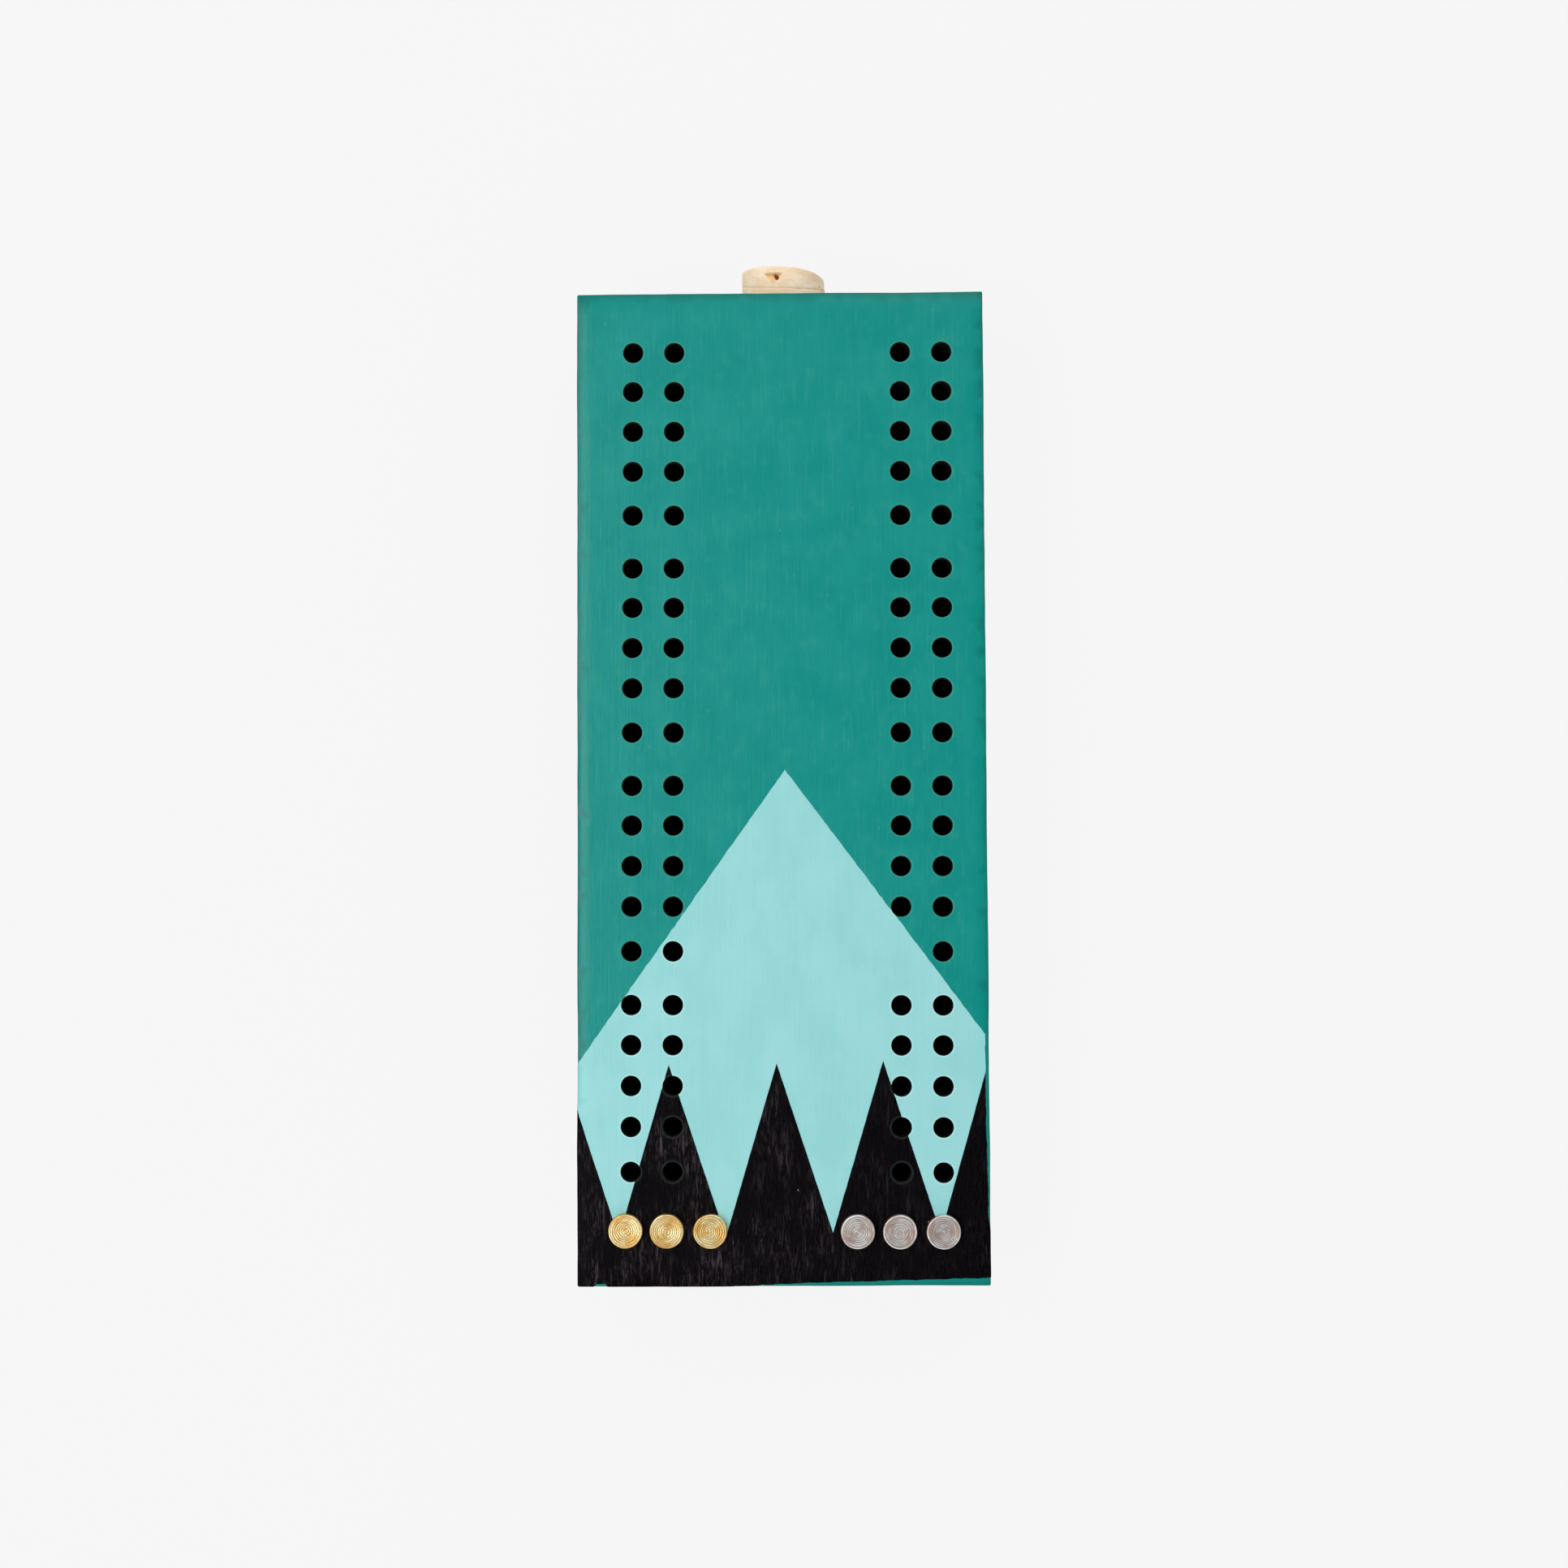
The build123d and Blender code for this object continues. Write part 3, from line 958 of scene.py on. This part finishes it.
def cork_outline():
    """The cork's outline from the middle of its plug's tip to the middle of its far end, as
    (radius, distance from the seat, share of the slant)."""
    end = CORK_HIGH.y - CORK_SEAT - CORK_RADIUS * math.tan(CORK_SLANT)
    tip, seat = CORK_TIP_RADIUS, CORK_PLUG_RADIUS
    outline = [(tip * i / 12, -CORK_PLUG, 0.0) for i in range(1, 12)]
    outline += [(tip - CORK_BEVEL, -CORK_PLUG, 0.0), (tip, -CORK_PLUG + CORK_BEVEL, 0.0)]
    rows = 34
    for i in range(1, rows):
        share = i / rows
        along = -(CORK_PLUG - CORK_BEVEL) * (1 - share)
        outline.append((tip + (seat - tip) * share, along, 0.0))
    rows = 40
    for i in range(rows + 1):
        share = i / rows
        swell = smooth_step(share, 0.0, 0.05)
        radius = seat + (CORK_RADIUS - seat) * swell
        outline.append((float(radius), share * (end - CORK_BEND) + 0.03 * MM, float(share)))
    for i in range(1, 5):
        angle = math.radians(90 * i / 4)
        radius = CORK_RADIUS - CORK_BEND * (1 - math.cos(angle))
        outline.append((radius, end - CORK_BEND * (1 - math.sin(angle)), 1.0))
    inner = CORK_RADIUS - CORK_BEND
    outline += [(inner * (1 - i / 30), end, 1.0) for i in range(1, 30)]
    return outline, end


def make_cork(material):
    """The cork, with its pores, its crease and its grain as real relief."""
    outline, end = cork_outline()
    sides = CORK_SIDES
    around = np.arange(sides) * 2 * math.pi / sides
    across, up = np.sin(around), np.cos(around)

    def from_angle(degrees):
        return ((around - math.radians(degrees) + math.pi) % (2 * math.pi) - math.pi) * CORK_RADIUS

    rings, dark, warm_and_crease_shade = [], [], []
    for radius, along, slant in outline:
        from_axis = radius * across / CORK_RADIUS
        slope = slant * math.tan(CORK_SLANT) * CORK_RADIUS * (0.52 * from_axis + 0.48 * from_axis**3)
        slope -= slant * CORK_LEAN * np.maximum(radius * up / CORK_RADIUS, 0)
        places = np.column_stack([radius * across, np.full(sides, along), radius * up])
        rough = 0.03 * MM * noise_at(places, (1.6 * MM, 1.2 * MM, 1.6 * MM), seed=2)
        rough += 0.015 * MM * noise_at(places, (0.6 * MM, 0.5 * MM, 0.6 * MM), seed=3)
        pores = noise_at(places, (2.4 * MM, 0.9 * MM, 2.4 * MM), seed=5)
        sunk = 0.3 * MM * smooth_step(pores, 0.42, 0.62) * (0.0 if along > 0 else 1.0)
        depth, scoop = np.zeros(sides), np.zeros(sides)
        if along > 0.2 * MM and radius > CORK_RADIUS * 0.97:
            for angle, distance, half_round, half_along, deep in SMALL_PITS:
                spot = (from_angle(angle) / half_round) ** 2 + ((along - distance) / half_along) ** 2
                depth = np.maximum(depth, deep * np.exp(-(spot**1.5)))
            inside = np.min(
                [from_angle(angle) * a + (along - distance) * b for angle, distance, a, b in CHIP_SIDES],
                axis=0,
            )
            scoop = smooth_step(inside - 4 * rough, -0.12 * MM, 0.26 * MM)
            angle, distance, half_long, half_wide = CHIP_DEEP_END
            round_to, up_to = from_angle(angle), along - distance
            spot = ((round_to - up_to) / half_long) ** 2 + ((round_to + up_to) / half_wide) ** 2
            hole = np.exp(-(spot**2))
            depth = np.maximum(depth, CHIP_DEPTH * scoop + CHIP_END_DEPTH * hole)
        from_crease = along - CREASE_FROM_SEAT - CREASE_BOW * (1 - np.abs(up))
        crease = np.exp(-((from_crease / CREASE_SIZE) ** 2)) * (along > 0)
        squeezed = CORK_BULGE * smooth_step(across, 0.6, 1.0) * smooth_step(along, 7.2 * MM, 4.6 * MM)
        inward = rough + sunk + depth + CREASE_SIZE * crease - squeezed * (along > 0)
        flat_end = along in (end, -CORK_PLUG)
        sideways = np.zeros(sides) if flat_end else inward
        lengthways = inward * (1 if along == end else -1) if flat_end else np.zeros(sides)
        reach = radius - sideways
        placed = CORK_SEAT + along - slope - lengthways
        rings.append(np.column_stack([reach * across, placed, BORE_HEIGHT + reach * up]))
        # Painted shade that grows with the depth of the pores and sunken spots.
        dark.append(smooth_step(depth, 0.6 * MM, 1.15 * MM) + 0.35 * smooth_step(sunk, 0.15 * MM, 0.35 * MM))
        # The chip's orange, and a painted shade line along the crease.
        warm_and_crease_shade.append(scoop * (0.42 + 0.5 * smooth_step(along, 5.7 * MM, 6.7 * MM)) + 0.3 * crease)
    tip = (0.0, CORK_LOW.y, BORE_HEIGHT)
    far = (0.0, CORK_SEAT + end, BORE_HEIGHT)
    points = np.concatenate(rings + [[tip], [far]])
    values = {
        "pit_shade": np.clip(np.concatenate(dark + [[0.0, 0.0]]), 0, 1),
        "warm_and_crease_shade": np.clip(np.concatenate(warm_and_crease_shade + [[0.0, 0.0]]), 0, 1),
    }
    last = (len(rings) - 1) * sides
    ends = fan(0, sides, len(points) - 2) + [face[::-1] for face in fan(last, sides, len(points) - 1)]
    skin = Skin()
    skin.add(points, ring_strip(rings) + ends)
    return skin.build("cork_bark", [material], sharp=60, marks=by_place(points, values))


# ---------------------------------------------------------------------------------------------
# The stage


def aim(obj, target, up=(0, 1, 0)):
    """Turns a camera or lamp at obj's place towards target, with the given direction up."""
    back = (obj.location - Vector(target)).normalized()
    right = Vector(up).cross(back).normalized()
    turn = Matrix((right, back.cross(right), back)).transposed()
    obj.rotation_euler = turn.to_euler()


# How bright the room is to the sides and straight above, and the steepness at which one turns into
# the other, as the upward part of the direction.
WALLS, CEILING = 0.92, 0.2
WALLS_END, CEILING_STARTS = 0.62, 0.95
FLOOR_GLOW = 0.885
FLOOR_HALF = 6.0


def add_softbox(name, place, size, power):
    """A rectangular soft light that faces the board. Its size is across, then along the board."""
    data = bpy.data.lights.new(name, "AREA")
    data.shape, data.energy = "RECTANGLE", power
    data.size, data.size_y = size
    lamp = bpy.data.objects.new(name, data)
    lamp.location = place
    aim(lamp, (0, 0, BLOCK_TOP))
    bpy.context.scene.collection.objects.link(lamp)


def make_stage():
    """A plain pale floor, soft light from all round, and a softbox on each side."""
    f = Finish("floor", Specular_IOR_Level=0.0, Emission_Strength=FLOOR_GLOW)
    f.shader.inputs["Emission Color"].default_value = (1, 1, 1, 1)
    tone = f.noise((0.2, 0.2, 0.2), detail=2)
    f.done(f.mix(tone, (0.036, 0.036, 0.036, 1), (0.04, 0.04, 0.04, 1)), 0.9, f.bump(tone, 0.1 * MM))
    corners = [(x * FLOOR_HALF, y * FLOOR_HALF, 0) for x, y in ((-1, -1), (1, -1), (1, 1), (-1, 1))]
    mesh = bpy.data.meshes.new("floor")
    mesh.from_pydata(corners, [], [(0, 1, 2, 3)])
    mesh.materials.append(f.material)
    floor = bpy.data.objects.new("floor", mesh)
    floor.location.z = -0.1 * MM
    bpy.context.scene.collection.objects.link(floor)
    world = bpy.data.worlds.new("studio")
    world.use_nodes = True
    tree = world.node_tree
    direction = tree.nodes.new("ShaderNodeTexCoord").outputs["Generated"]
    split = tree.nodes.new("ShaderNodeSeparateXYZ")
    tree.links.new(direction, split.inputs["Vector"])
    overhead = tree.nodes.new("ShaderNodeMapRange")
    overhead.interpolation_type = "SMOOTHSTEP"
    tree.links.new(split.outputs["Z"], overhead.inputs["Value"])
    ends = {"From Min": WALLS_END, "From Max": CEILING_STARTS, "To Min": WALLS, "To Max": CEILING}
    for key, number in ends.items():
        overhead.inputs[key].default_value = number
    tree.links.new(overhead.outputs["Result"], tree.nodes["Background"].inputs["Strength"])
    tree.nodes["Background"].inputs["Color"].default_value = (1, 1, 1, 1)
    bpy.context.scene.world = world
    add_softbox("key", (-0.34, -0.02, 0.75), (0.22, 0.8), 3.0)
    add_softbox("fill", (0.2, 0.6, 0.72), (0.5, 0.3), 1.0)


def make_camera():
    data = bpy.data.cameras.new("camera")
    data.sensor_width, data.lens = 36.0, 52.17
    data.clip_start, data.clip_end = 0.01, 20.0
    camera = bpy.data.objects.new("camera", data)
    camera.location = (10.83 * MM, -25.06 * MM, BLOCK_TOP + 562.76 * MM)
    aim(camera, (0.577 * MM, 0.179 * MM, BLOCK_TOP))
    bpy.context.scene.collection.objects.link(camera)
    bpy.context.scene.camera = camera


# ---------------------------------------------------------------------------------------------
# Putting it together

make_camera()
make_stage()
bpy.context.scene.view_settings.view_transform = "Standard"

for coat, slot in make_board():
    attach(coat, "board")
    if slot == "teal_paint":
        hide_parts("board")

brass = turned_metal("brass", srgb(255, 240, 182), srgb(206, 160, 86), srgb(126, 84, 34), 0.35)
steel = turned_metal("steel", srgb(255, 253, 250), srgb(192, 170, 161), srgb(86, 64, 56), 0.36)
for node in PEGS:
    metal = node.split("_")[0]
    turned = make_peg(node, brass if metal == "brass" else steel)
    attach(turned, node)
    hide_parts(node)

bark = make_cork(cork_bark())
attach(bark, "cork_stopper")
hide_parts("cork_stopper")
